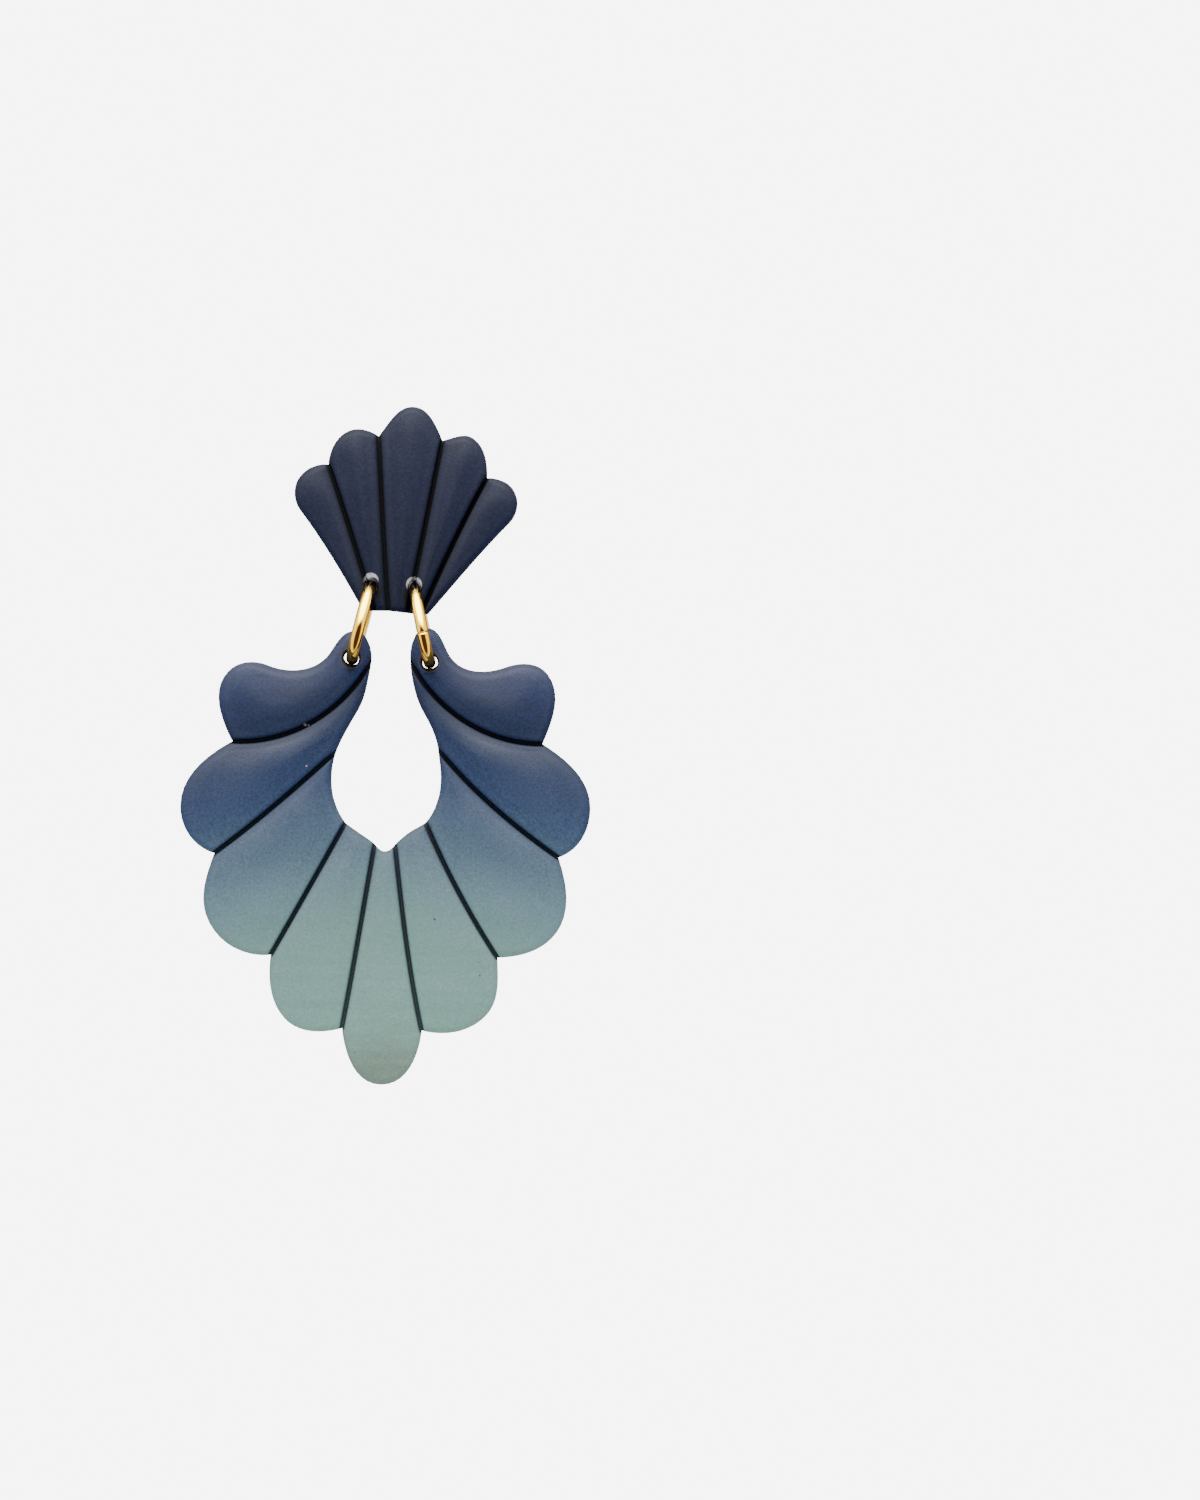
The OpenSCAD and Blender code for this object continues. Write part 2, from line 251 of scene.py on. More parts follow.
# Height of a petal's crown over its rim and its grooves, and how far in from each it is reached, in mm
PILLOW = 0.6
RIM_RISE = 3.8
GROOVE_RISE = 2.8
# Share of that height at the rim, where it is a little less than at a groove
RIM_SHARE = 0.85
# The hand-rolled front's unevenness: height in mm, and how often to a mm
SWELLS = [(0.05, 0.35), (0.012, 1.6)]

# Each ring: middle x, middle z, its lean and the turn of its seam, in mm and degrees
RINGS = {"left": (-3.3, -10.7, 14.8, 200), "right": (2, -11, -11.1, 12)}
# From the middle of a ring to the middle of each of its holes
RING_REACH = 3.5

# Lines between petals: root x, root z, heading there, cusp x, cusp z, heading there, in mm and degrees
FAN_LINES = [
    (2.5, -10.1, 49, 9.65, -2.1, 45),
    (1.9, -10.1, 66, 7.75, 1.95, 61),
    (0.7, -10, 78, 3.8, 5.25, 79),
    (-1, -9.8, 94, -1.85, 5.65, 93),
    (-2.2, -9.8, 107, -6.3, 3.15, 109),
    (-3.25, -9.75, 119, -8.8, -0.9, 127),
]
# Round ends: heading at the first cusp, middle x, middle z, heading there, heading at the next cusp
FAN_ENDS = [
    (45, 10.05, 0.95, 125, 180),
    (88, 6.45, 5.5, 148, 192),
    (112, 1.15, 8.25, 180, 230),
    (144, -4.8, 5.95, 212, 265),
    (174, -8.75, 2.15, 230, 304),
]
# The fan's base is straight from root to root
FAN_ROOTS = []
for a, b in zip(FAN_LINES, FAN_LINES[1:]):
    slope = math.degrees(math.atan2(b[1] - a[1], b[0] - a[0]))
    FAN_ROOTS.append((slope, (a[0] + b[0]) / 2, (a[1] + b[1]) / 2, slope, slope))

# The grid of a slab: how far its columns lie from a groove and its layers from the rim, in mm. The layers
# turn over the rim's rounding by 9 degrees each.
GROOVE_STEPS = np.array([0, 0.05, 0.1, 0.14, 0.18, 0.22, 0.26, 0.32, 0.42, 0.65, 1.05])
RIM_STEPS = RIM_R * (1 - np.cos(np.radians(9 * np.arange(11))))
LAST = len(RIM_STEPS) - 1
# More columns are spread over the rest of half a petal, and more rows over the rest of its length
SPREAD = 7
COLUMNS = 2 * (LAST + SPREAD)
FAN_SPREAD_ROWS = 16
# Straight pieces to a curve of the outline, points set against them at once, and rounds of evening the grid
CURVE_STEPS = 48
AT_ONCE = 1500
EVEN_ROUNDS = 12


def heading(degrees):
    return np.array([math.cos(math.radians(degrees)), math.sin(math.radians(degrees))])


def curve(p, a, q, b, t):
    """Points at t on the curve that leaves p at heading a and arrives at q at heading b."""
    p, q = np.array(p, float), np.array(q, float)
    chord = np.linalg.norm(q - p)
    bend = math.radians(abs((b - a + 180) % 360 - 180))
    handle = chord / 3
    if bend > math.radians(1):
        handle = chord * 2 / 3 * math.tan(bend / 4) / math.sin(bend / 2)
    t = np.asarray(t, float)[..., None]
    s = 1 - t
    out, into = p + handle * heading(a), q - handle * heading(b)
    return s**3 * p + 3 * s * s * t * out + 3 * s * t * t * into + t**3 * q


def on_line(line, t):
    """Points at t on the line between two petals, from its root to its cusp."""
    return curve(line[:2], line[2], line[3:5], line[5], t)


def on_arc(p, arc, q, t):
    """Points at t on the two curves that run from p by the middle of the arc to q."""
    t = np.asarray(t, float)
    first = curve(p, arc[0], arc[1:3], arc[3], 2 * t)
    second = curve(arc[1:3], arc[3], q, arc[4], 2 * t - 1)
    return np.where(t[..., None] < 0.5, first, second)


def width(vectors):
    return np.linalg.norm(vectors, axis=-1)


def column_place(line, other, steps, j, v):
    """Place across a petal, from 0 at its line to 0.5 at its middle, of column j at height v."""
    across = on_line(other, v) - on_line(line, v)
    along = on_line(line, v + 0.02) - on_line(line, v - 0.02)
    # Steps are distances square to the line, so they count for more where the way across slants
    cross = np.abs(along[..., 0] * across[..., 1] - along[..., 1] * across[..., 0])
    square = np.maximum(0.4, cross / width(along) / width(across))
    span = square * width(across)
    near = np.minimum(1 / span, 0.3 / steps[LAST])
    edge = steps[LAST] * near
    return np.where(j <= LAST, steps[np.minimum(j, LAST)] * near, edge + (0.5 - edge) * (j - LAST) / SPREAD)


def petal_points(lines, ends, roots, k, rows):
    """Grid of points over petal k: rows from its root to its end, columns from its line to the next."""
    a, b = lines[k], lines[k + 1]
    i, j = np.meshgrid(np.arange(rows + 1), np.arange(COLUMNS + 1), indexing="ij")
    steps_a = RIM_STEPS if k == 0 else GROOVE_STEPS
    steps_b = RIM_STEPS if k == len(ends) - 1 else GROOVE_STEPS

    def place(v):
        low = column_place(a, b, steps_a, np.minimum(j, COLUMNS // 2), v)
        high = column_place(b, a, steps_b, np.minimum(COLUMNS - j, COLUMNS // 2), v)
        return np.where(j <= COLUMNS // 2, low, 1 - high)

    def root_at(u):
        return on_arc(a[:2], roots[k], b[:2], u)

    def end_at(u):
        return on_arc(a[3:5], ends[k], b[3:5], u)

    u = place(i / rows)
    length = width(end_at(u) - root_at(u))
    layer = np.minimum(i, rows - i)
    edge = RIM_STEPS[LAST] / length
    inner = edge + (1 - 2 * edge) * (i - LAST) / (rows - 2 * LAST)
    near = RIM_STEPS[np.minimum(layer, LAST)] / length
    v = np.where(layer >= LAST, inner, np.where(i < rows / 2, near, 1 - near))
    u = place(v)
    u_, v_ = u[..., None], v[..., None]
    straight_root = (1 - u_) * np.array(a[:2]) + u_ * np.array(b[:2])
    straight_end = (1 - u_) * np.array(a[3:5]) + u_ * np.array(b[3:5])
    points = (1 - u_) * on_line(a, v) + u_ * on_line(b, v)
    points += (1 - v_) ** 5 * (root_at(u) - straight_root) + v_**5 * (end_at(u) - straight_end)
    return points


def chain(points):
    """The short pieces between neighbouring points."""
    return np.stack([points[:-1], points[1:]], 1)


def nearest(points, pieces):
    """For the nearest of these short pieces: distance, nearest point on it, and the way to its left."""
    start, run = pieces[:, 0], pieces[:, 1] - pieces[:, 0]
    distance, foot, left = [], [], []
    for some in np.array_split(points, max(1, len(points) // AT_ONCE)):
        t = ((some[:, None] - start) * run).sum(-1) / (run * run).sum(-1)
        feet = start + np.clip(t, 0, 1)[..., None] * run
        gaps = width(some[:, None] - feet)
        best = gaps.argmin(1)
        rows = np.arange(len(some))
        distance.append(gaps[rows, best])
        foot.append(feet[rows, best])
        left.append(np.stack([-run[best, 1], run[best, 0]], -1) / width(run[best])[:, None])
    return np.concatenate(distance), np.concatenate(foot), np.concatenate(left)


def outline_of(lines, ends, roots):
    """Outline of a slab in short pieces, with the clay on their left."""
    t = np.linspace(0, 1, CURVE_STEPS + 1)
    petals = range(len(ends))
    rim = [chain(on_arc(lines[k][3:5], ends[k], lines[k + 1][3:5], t)) for k in petals]
    rim += [chain(on_arc(lines[k][:2], roots[k], lines[k + 1][:2], t)[::-1]) for k in petals]
    rim += [chain(on_line(lines[0], t)), chain(on_line(lines[-1], t)[::-1])]
    return np.concatenate(rim)


def slab_grid(lines, ends, roots, rows, rim, grooves):
    """Points over a slab, row by row, each one's layer in from the rim, and whether it lies in a groove."""
    columns = len(ends) * COLUMNS
    grid = np.zeros((rows + 1, columns + 1, 2))
    for k in range(len(ends)):
        grid[:, k * COLUMNS : (k + 1) * COLUMNS + 1] = petal_points(lines, ends, roots, k, rows)

    # Layers follow the rim from 0.8 to 2 mm off a groove, and lie closer together where the clay is narrow
    i, c = np.meshgrid(np.arange(rows + 1), np.arange(columns + 1), indexing="ij")
    layer = np.minimum(np.minimum(i, rows - i), np.minimum(c, columns - c))
    inner = grid[np.clip(i, LAST + 1, rows - LAST - 1), np.clip(c, LAST + 1, columns - LAST - 1)]
    spare = np.minimum(1, 0.6 * nearest(inner.reshape(-1, 2), rim)[0] / RIM_STEPS[LAST])
    flat = grid.reshape(-1, 2)
    clear = nearest(flat, grooves)[0]
    _, foot, inward = nearest(flat, rim)
    target = foot + (RIM_STEPS[np.minimum(layer.ravel(), LAST)] * spare)[:, None] * inward
    follow = np.clip((clear - 0.8) / 1.2, 0, 1) * ((layer.ravel() > 0) & (layer.ravel() <= LAST))
    grid = ((1 - follow[:, None]) * flat + follow[:, None] * target).reshape(grid.shape)

    # The rest is drawn even
    j = c % COLUMNS
    free = np.minimum(layer, np.minimum(j, COLUMNS - j)) > LAST
    for _ in range(EVEN_ROUNDS):
        around = np.zeros_like(grid)
        around[1:-1, 1:-1] = (grid[:-2, 1:-1] + grid[2:, 1:-1] + grid[1:-1, :-2] + grid[1:-1, 2:]) / 4
        grid = np.where(free[..., None], around, grid)
    in_groove = (j == 0) & (c > 0) & (c < columns)
    return grid.reshape(-1, 2), layer.ravel(), in_groove.ravel()


def fall(to_rim, to_groove):
    """Fall of the front below its crown at these distances inside the rim and from a groove."""
    inside = np.clip(RIM_R - to_rim, 0, RIM_R)
    rounded = RIM_R - np.sqrt(np.maximum(RIM_R**2 - inside**2, 0))
    groove = GROOVE_DEPTH / (1 + (to_groove / GROOVE_HALF) ** 6)
    from_rim = RIM_SHARE * np.clip(1 - to_rim / RIM_RISE, 0, 1) ** 1.5
    from_groove = np.clip(1 - to_groove / GROOVE_RISE, 0, 1) ** 2
    pillow = 1 - (1 - from_rim) * (1 - from_groove)
    return np.hypot(rounded, groove) + PILLOW * pillow


def front_of(flat, on_rim, in_groove, rim, grooves, seed):
    """Depth of the front at each point of a slab."""
    to_rim = np.where(on_rim, 0, nearest(flat, rim)[0])
    to_groove = np.where(in_groove, 0, nearest(flat, grooves)[0])
    front = CLAY_BACK - CLAY_T + fall(to_rim, to_groove)
    for n, (x, z) in enumerate(flat):
        front[n] += sum(
            high * (0.5 + 0.5 * noise.noise(Vector((x * often, z * often, seed)))) for high, often in SWELLS
        )
    return front


def raised(name, flat, front, rows, columns, rim):
    """Closed slab from the points of its front: a straight side wall, an eased edge and a flat back."""
    bm = bmesh.new()
    place = bm.verts.layers.int.new("place")
    bmesh.ops.create_grid(bm, x_segments=columns, y_segments=rows, size=1)
    for v in bm.verts:
        n = round((v.co.y + 1) / 2 * rows) * (columns + 1) + round((v.co.x + 1) / 2 * columns)
        v[place] = n
        v.co = (flat[n, 0], front[n], flat[n, 1])

    # Side wall and back edge, in steps of depth and of the way in from the outline
    _, _, inward = nearest(flat, rim)
    edges = [edge for edge in bm.edges if edge.is_boundary]
    steps = [(CLAY_BACK - 1, 0)]
    for a in np.radians([0, 30, 60, 90]):
        steps.append((CLAY_BACK - BACK_EASE * (1 - math.sin(a)), BACK_EASE * (1 - math.cos(a))))
    for depth, way in steps:
        made = bmesh.ops.extrude_edge_only(bm, edges=edges)["geom"]
        edges = [g for g in made if isinstance(g, bmesh.types.BMEdge)]
        edges = [edge for edge in edges if edge.is_boundary]
        for v in {v for edge in edges for v in edge.verts}:
            x, z = flat[v[place]] + way * inward[v[place]]
            v.co = (x, depth, z)
    bmesh.ops.triangle_fill(bm, use_beauty=True, edges=edges)
    bmesh.ops.recalc_face_normals(bm, faces=bm.faces)
    return shown(bm, name)


# A hole's place, how far aside and up the wire has drawn it at its back, middle and front, its radius near
# its mouths and at its middle, and the radius of the wear round its mouths, all in mm
Hole = namedtuple("Hole", "x z drawn pin belly mouth")
HOLE_DEPTHS = (0, 0.5, 1)
MOUTH_TURNS = np.radians([75, 60, 45, 30, 15, 0])
ABOVE = 1
BELOW = -1


def hole_at(ring, side, back, middle, front, pin, belly, mouth):
    """Hole above or below its ring.

    At its back, middle and front it is drawn aside, to the right, and then along, towards the ring."""
    x, z, lean, _ = RINGS[ring]
    across, along = math.sin(math.radians(lean)), math.cos(math.radians(lean))
    drawn = []
    for aside, pull in (back, middle, front):
        drawn.append((aside * along - side * pull * across, -aside * across - side * pull * along))
    return Hole(x + side * RING_REACH * across, z + side * RING_REACH * along, drawn, pin, belly, mouth)


def drawn_at(hole, way):
    """How far aside and up a hole is drawn at this share of the way from back to front."""
    return [np.interp(way, HOLE_DEPTHS, far) for far in zip(*hole.drawn)]


def turned(profile, x, z, steps):
    """A closed solid turned about a line from back to front, from its profile of radius and depth."""
    bm = bmesh.new()
    points = [bm.verts.new((x + r, y, z)) for r, y in profile]
    line = [bm.edges.new(pair) for pair in zip(points, points[1:])]
    bmesh.ops.spin(
        bm,
        geom=points + line,
        cent=(x, 0, z),
        axis=(0, 1, 0),
        angle=2 * math.pi,
        steps=steps,
        use_merge=True,
    )
    bmesh.ops.remove_doubles(bm, verts=bm.verts, dist=1e-5)
    bmesh.ops.recalc_face_normals(bm, faces=bm.faces)
    return bm


def bore(slab, hole):
    """Cut a hole through a slab with a drill that has the hole's own worn shape."""
    side = [(0, -0.5), (hole.pin + hole.mouth + 0.5, -0.5), (hole.pin + hole.mouth, 0)]
    for a in MOUTH_TURNS:
        side.append((hole.pin + hole.mouth * (1 - math.cos(a)), hole.mouth * (1 - math.sin(a))))
    profile = side + [(hole.belly, CLAY_T / 2)] + [(r, CLAY_T - y) for r, y in reversed(side)]
    bm = turned([(r, CLAY_BACK - y) for r, y in profile], hole.x, hole.z, 72)
    for v in bm.verts:
        aside, up = drawn_at(hole, (CLAY_BACK - v.co.y) / CLAY_T)
        v.co.x += aside
        v.co.z += up
    drill = shown(bm, "drill")
    cut = slab.modifiers.new("hole", "BOOLEAN")
    cut.operation = "DIFFERENCE"
    cut.solver = "EXACT"
    cut.object = drill
    bpy.context.view_layer.update()
    bored = bpy.data.meshes.new_from_object(slab.evaluated_get(bpy.context.evaluated_depsgraph_get()))
    slab.modifiers.clear()
    slab.data = bored
    bpy.data.objects.remove(drill)


# The clay is rubbed dull in the holes, and less so along the rim and the grooves. The grooves and holes are
# darkened with painted shade; in a groove it reaches this far from its middle line, and fades over the last
# of it, in mm.
RUBBED_MOST = 1.6
GROOVE_SHADE_REACH = 0.24
GROOVE_FADE = 0.08


def mark_shade_and_wear(mesh, rim, grooves, holes):
    """Attributes for the material: painted shade in grooves and holes, and rubbed dull there and along the
    rim.
    """
    flat = np.array([(v.co.x / MM, v.co.z / MM) for v in mesh.vertices])
    depth = np.array([v.co.y / MM - CLAY_BACK + CLAY_T for v in mesh.vertices])
    bored = np.zeros(len(depth))
    for hole in holes:
        aside, up = drawn_at(hole, 1 - depth / CLAY_T)
        r = np.hypot(flat[:, 0] - hole.x - aside, flat[:, 1] - hole.z - up)
        waist = (np.abs(depth - CLAY_T / 2) < 0.1) & (r < hole.belly + 0.1)
        bored[waist | (r < hole.pin + 0.45 * hole.mouth)] = 1
    to_rim = nearest(flat, rim)[0]
    to_groove = nearest(flat, grooves)[0]
    # Painted shade: a mask that darkens the colour in the grooves and the holes
    pressed = mesh.attributes.new("pressed", "FLOAT", "POINT")
    in_groove = np.clip((GROOVE_SHADE_REACH - to_groove) / GROOVE_FADE, 0, 1) * (depth < CLAY_T - 0.1)
    pressed.data.foreach_set("value", np.maximum(bored, in_groove))
    rubbed = mesh.attributes.new("rubbed", "FLOAT", "POINT")
    near_edge = np.clip(RUBBED_MOST - np.minimum(to_rim, to_groove - 0.2) / 0.5, 0, 1)
    rubbed.data.foreach_set("value", np.maximum(RUBBED_MOST * bored, near_edge))


def clay_slab(name, lines, ends, roots, spread_rows, holes, seed):
    """Slab of clay with a pillowed petal between each two lines, pressed grooves and bored holes."""
    rows = spread_rows + 2 * LAST
    rim = outline_of(lines, ends, roots)
    t = np.linspace(0, 1, CURVE_STEPS + 1)
    grooves = np.concatenate([chain(on_line(line, t)) for line in lines[1:-1]])
    flat, layer, in_groove = slab_grid(lines, ends, roots, rows, rim, grooves)
    front = front_of(flat, layer == 0, in_groove, rim, grooves, seed)
    slab = raised(name, flat, front, rows, len(ends) * COLUMNS, rim)
    for hole in holes:
        bore(slab, hole)
    mark_shade_and_wear(slab.data, rim, grooves, holes)
    slab.data.shade_smooth()
    slab.data.set_sharp_from_angle(angle=math.radians(62))
    return slab


def grained_clay():
    """Node group of the skin of baked clay: fine grains, faint streaks from rolling, and its relief."""
    group = bpy.data.node_groups.new("clay skin", "ShaderNodeTree")
    group.interface.new_socket("Vector", in_out="INPUT", socket_type="NodeSocketVector")
    for name in ("Grain", "Streak", "Relief"):
        group.interface.new_socket(name, in_out="OUTPUT", socket_type="NodeSocketFloat")
    in_mm = add(group, "ShaderNodeVectorMath", operation="SCALE", Scale=1 / MM)
    feed(group, add(group, "NodeGroupInput").outputs["Vector"], in_mm.inputs[0])
    here = in_mm.outputs["Vector"]
    grain = add(group, "ShaderNodeTexNoise", Vector=here, Scale=4.5, Detail=3.0, Roughness=0.7)
    long = add(group, "ShaderNodeMapping", Vector=here, Scale=(0.12, 0.5, 1.3))
    streak = add(
        group, "ShaderNodeTexNoise", Vector=long.outputs["Vector"], Scale=1.0, Detail=4.0, Roughness=0.6
    )
    relief = add(group, "ShaderNodeTexNoise", Vector=here, Scale=6.0, Detail=4.0, Roughness=0.65)
    outside = add(group, "NodeGroupOutput")
    for name, pattern in (("Grain", grain), ("Streak", streak), ("Relief", relief)):
        feed(group, pattern.outputs["Fac"], outside.inputs[name])
    return group


def front_spot():
    """Node group of a mask on the front: full within the inner distance of a place, gone at the outer."""
    group = bpy.data.node_groups.new("front spot", "ShaderNodeTree")
    for name in ("Vector", "Place"):
        group.interface.new_socket(name, in_out="INPUT", socket_type="NodeSocketVector")
    for name in ("Inner", "Outer"):
        group.interface.new_socket(name, in_out="INPUT", socket_type="NodeSocketFloat")
    group.interface.new_socket("Mask", in_out="OUTPUT", socket_type="NodeSocketFloat")
    inside = add(group, "NodeGroupInput")
    flat = add(group, "ShaderNodeVectorMath", operation="MULTIPLY")
    feed(group, inside.outputs["Vector"], flat.inputs[0])
    feed(group, (1, 0, 1), flat.inputs[1])
    away = add(group, "ShaderNodeVectorMath", operation="DISTANCE")
    feed(group, flat.outputs["Vector"], away.inputs[0])
    feed(group, inside.outputs["Place"], away.inputs[1])
    limits = (inside.outputs["Inner"], inside.outputs["Outer"])
    near = mapped(group, away.outputs["Value"], limits, (1, 0))
    # A spot doesn't go through to the back
    depth = add(group, "ShaderNodeSeparateXYZ", Vector=inside.outputs["Vector"]).outputs["Y"]
    ahead = mapped(group, depth, (-1.3 * MM, -1.6 * MM), (0, 1))
    add(group, "NodeGroupOutput", Mask=reckon(group, "MULTIPLY", near, ahead))
    return group


clay_skin = grained_clay()
spot_mask = front_spot()


def round_spot(tree, here, x, z, inner, outer):
    """Mask of a round spot on the front, with its place and its radii in mm."""
    mask = add(tree, "ShaderNodeGroup", node_tree=spot_mask, Vector=here)
    feed(tree, (x * MM, 0, z * MM), mask.inputs["Place"])
    feed(tree, inner * MM, mask.inputs["Inner"])
    feed(tree, outer * MM, mask.inputs["Outer"])
    return mask.outputs["Mask"]


def mixed(tree, factor, first, second, blend="MIX"):
    """Two colours mixed, with this share of the second."""
    # The node's colours come after its numbers and vectors
    node = add(tree, "ShaderNodeMix", data_type="RGBA", blend_type=blend, Factor=factor)
    feed(tree, first, node.inputs[6])
    feed(tree, second, node.inputs[7])
    return node.outputs[2]


# Colours go by height, from a little above the fan down to the lowest tip of the drop
COLOUR_TOP = 10 * MM
COLOUR_FOOT = -52 * MM


def clay_material(name, stops, groove_shade, spots, shine):
    """Matte clay: colour by height, grains, streaks, painted shade in grooves and holes, and small spots of
    another colour.

    A spot has its x and z, the radii where it is full and where it is gone, its strength and its colour."""
    material, tree, shader = new_material(name)
    shader.inputs["Specular IOR Level"].default_value = shine
    here = add(tree, "ShaderNodeTexCoord").outputs["Object"]
    skin = add(tree, "ShaderNodeGroup", node_tree=clay_skin, Vector=here)
    axes = add(tree, "ShaderNodeSeparateXYZ", Vector=here)
    # The blend wanders with the streaks, and hangs lower at the sides than in the middle of the drop
    aside = reckon(tree, "ABSOLUTE", reckon(tree, "ADD", axes.outputs["X"], 1.2 * MM))
    sag = mapped(tree, aside, (0, 18 * MM), (-3.5 * MM, 1.9 * MM))
    hung = reckon(tree, "ADD", axes.outputs["Z"], sag)
    wandering = reckon(tree, "MULTIPLY_ADD", skin.outputs["Streak"], 3 * MM, hung)
    height = mapped(tree, wandering, (COLOUR_TOP, COLOUR_FOOT), (0, 1))
    # Grains show more in the dark clay than in the pale, and the outer ends of the petals are lighter
    low = mapped(tree, height, (0.5, 0.75), (0.45, 0.82))
    high = mapped(tree, height, (0.5, 0.75), (1.6, 1.18))
    grain = mapped(tree, skin.outputs["Grain"], (0.25, 0.75), (low, high))
    outward = mapped(tree, aside, (9 * MM, 16 * MM), (1.0, 1.05))
    streaks = mapped(tree, skin.outputs["Streak"], (0.3, 0.7), (0.94, 1.06))
    for factor in (outward, streaks):
        grain = reckon(tree, "MULTIPLY", grain, factor)
    colour = mixed(tree, 1, ramp(tree, height, stops), grain, "MULTIPLY")
    # Grooves and holes are darkened with painted shade
    pressed = add(tree, "ShaderNodeAttribute", attribute_name="pressed").outputs["Fac"]
    colour = mixed(tree, pressed, colour, ramp(tree, height, groove_shade))
    for x, z, inner, outer, strength, tint in spots:
        mask = reckon(tree, "MULTIPLY", round_spot(tree, here, x, z, inner, outer), strength)
        colour = mixed(tree, reckon(tree, "MULTIPLY", mask, grain), colour, (*tint, 1))
    feed(tree, colour, shader.inputs["Base Color"])
    rubbed = add(tree, "ShaderNodeAttribute", attribute_name="rubbed").outputs["Fac"]
    feed(tree, mapped(tree, rubbed, (0, RUBBED_MOST), (0.5, 1.0)), shader.inputs["Roughness"])
    bump = add(tree, "ShaderNodeBump", Strength=0.35, Distance=0.04 * MM, Height=skin.outputs["Relief"])
    feed(tree, bump.outputs["Normal"], shader.inputs["Normal"])
    return material


WORN_WIDE = {"pin": 0.53, "belly": 0.8, "mouth": 0.33}
fan_holes = [
    hole_at(ring, ABOVE, back=(0, 0.2), middle=(0, 0.22), front=(0, 0.25), **WORN_WIDE) for ring in RINGS
]
fan = clay_slab("fan_clay", FAN_LINES, FAN_ENDS, FAN_ROOTS, FAN_SPREAD_ROWS, fan_holes, seed=3.0)
matte.objects.link(fan)

# Pale dust lies along the tops of the holes' mouths. The clay just below each hole is darkened with painted
# shade, and further down beside the wire with the painted shadow of its ring
upper_left, upper_right = fan_holes
NAVY = [(0.0, (0.0088, 0.0108, 0.028)), (0.3, (0.0038, 0.0056, 0.0172))]
SHADE_BLACK = (0.002, 0.002, 0.003)
DUST = (0.38, 0.38, 0.42)
navy_clay = clay_material(
    "navy clay",
    NAVY,
    # Painted shade: the grooves and holes are near black
    [(0.0, SHADE_BLACK), (1.0, SHADE_BLACK)],
    [
        (upper_left.x - 0.12, upper_left.z + 0.16, 0.62, 0.74, 0.9, DUST),
        (upper_right.x - 0.02, upper_right.z + 0.06, 0.64, 0.74, 0.9, DUST),
        # Painted shade below each hole, then the painted shadow of each ring
        (upper_left.x + 0.06, upper_left.z - 0.14, 0.52, 0.66, 1.0, SHADE_BLACK),
        (upper_right.x, upper_right.z - 0.2, 0.54, 0.68, 1.0, SHADE_BLACK),
        (upper_left.x + 0.5, upper_left.z - 0.75, 0.3, 0.75, 0.8, SHADE_BLACK),
        (upper_right.x - 0.5, upper_right.z - 0.95, 0.3, 0.75, 0.9, SHADE_BLACK),
    ],
    shine=0.045,
)
fan.data.materials.clear()
fan.data.materials.append(navy_clay)
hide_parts("fan")
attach(fan, "stud")

# Drop
# The hanging slab: nine petals in a leaf round an open teardrop window, blended from navy above to pale
# blue-grey below. Eight grooves are pressed into it, and two holes are drilled near its upper tips.
DROP_LINES = [
    (-6.1, -13.45, 236, -11.7, -14.6, 158),
    (-2.5, -14.25, 242, -14.8, -21.35, 177),
    (-5.65, -22.3, 222, -16.4, -31.25, 216),
    (-4.8, -28.6, 241, -11.4, -40.25, 240),
    (-2.2, -30.5, 260, -5.1, -46.75, 259),
    (-0.4, -30.5, 276, 1.95, -46.95, 282),
    (2.3, -28.55, 293, 8.65, -40.5, 303),
    (3.4, -22.05, 309, 14.05, -31.65, 325),
    (0.95, -14.25, 297, 12.65, -21.6, 360),
    (4.45, -13.8, 303, 9.4, -14.8, 380),
]
DROP_ENDS = [
    (158, -15.15, -15.15, 226, 297),
    (208, -19.4, -27.1, 270, 344),
    (250, -17.15, -36.65, 288, 366),
    (262, -10.2, -45.85, 312, 375),
    (276, -1.6, -51.75, 360, 444),
    (345, 7.7, -45.6, 407, 452),
    (360, 13.9, -38.3, 414, 469),
    (377, 16.9, -27.25, 450, 508),
    (426, 13.1, -15.4, 488, 560),
]
# The petals' roots, in the form of the ends, go round the tips of the arms and round the window
DROP_ROOTS = [
    (56, -4.05, -11.6, 0, -93),
    (259, -3.7, -18.6, 240, 249),
    (250, -6.05, -24.8, 270, 308),
    (322, -3.25, -29.7, 326, 314),
    (308, -1.35, -31.1, 360, 412),
    (407, 0.8, -29.45, 396, 396),
    (408, 3.65, -24.6, 450, 457),
    (457, 2.2, -18.95, 480, 453),
    (452, 2.5, -11.35, 360, 303),
]
DROP_SPREAD_ROWS = 26
WORN_WAISTED = {"pin": 0.82, "belly": 0.66, "mouth": 0.16}
drop_holes = [
    hole_at("left", BELOW, back=(-0.07, 0.38), middle=(-0.065, 0.03), front=(-0.06, 0.1), **WORN_WAISTED),
    hole_at("right", BELOW, back=(0.03, 0.38), middle=(0.045, 0.03), front=(0.02, 0.12), **WORN_WAISTED),
]
drop = clay_slab("drop_clay", DROP_LINES, DROP_ENDS, DROP_ROOTS, DROP_SPREAD_ROWS, drop_holes, seed=8.0)
matte.objects.link(drop)

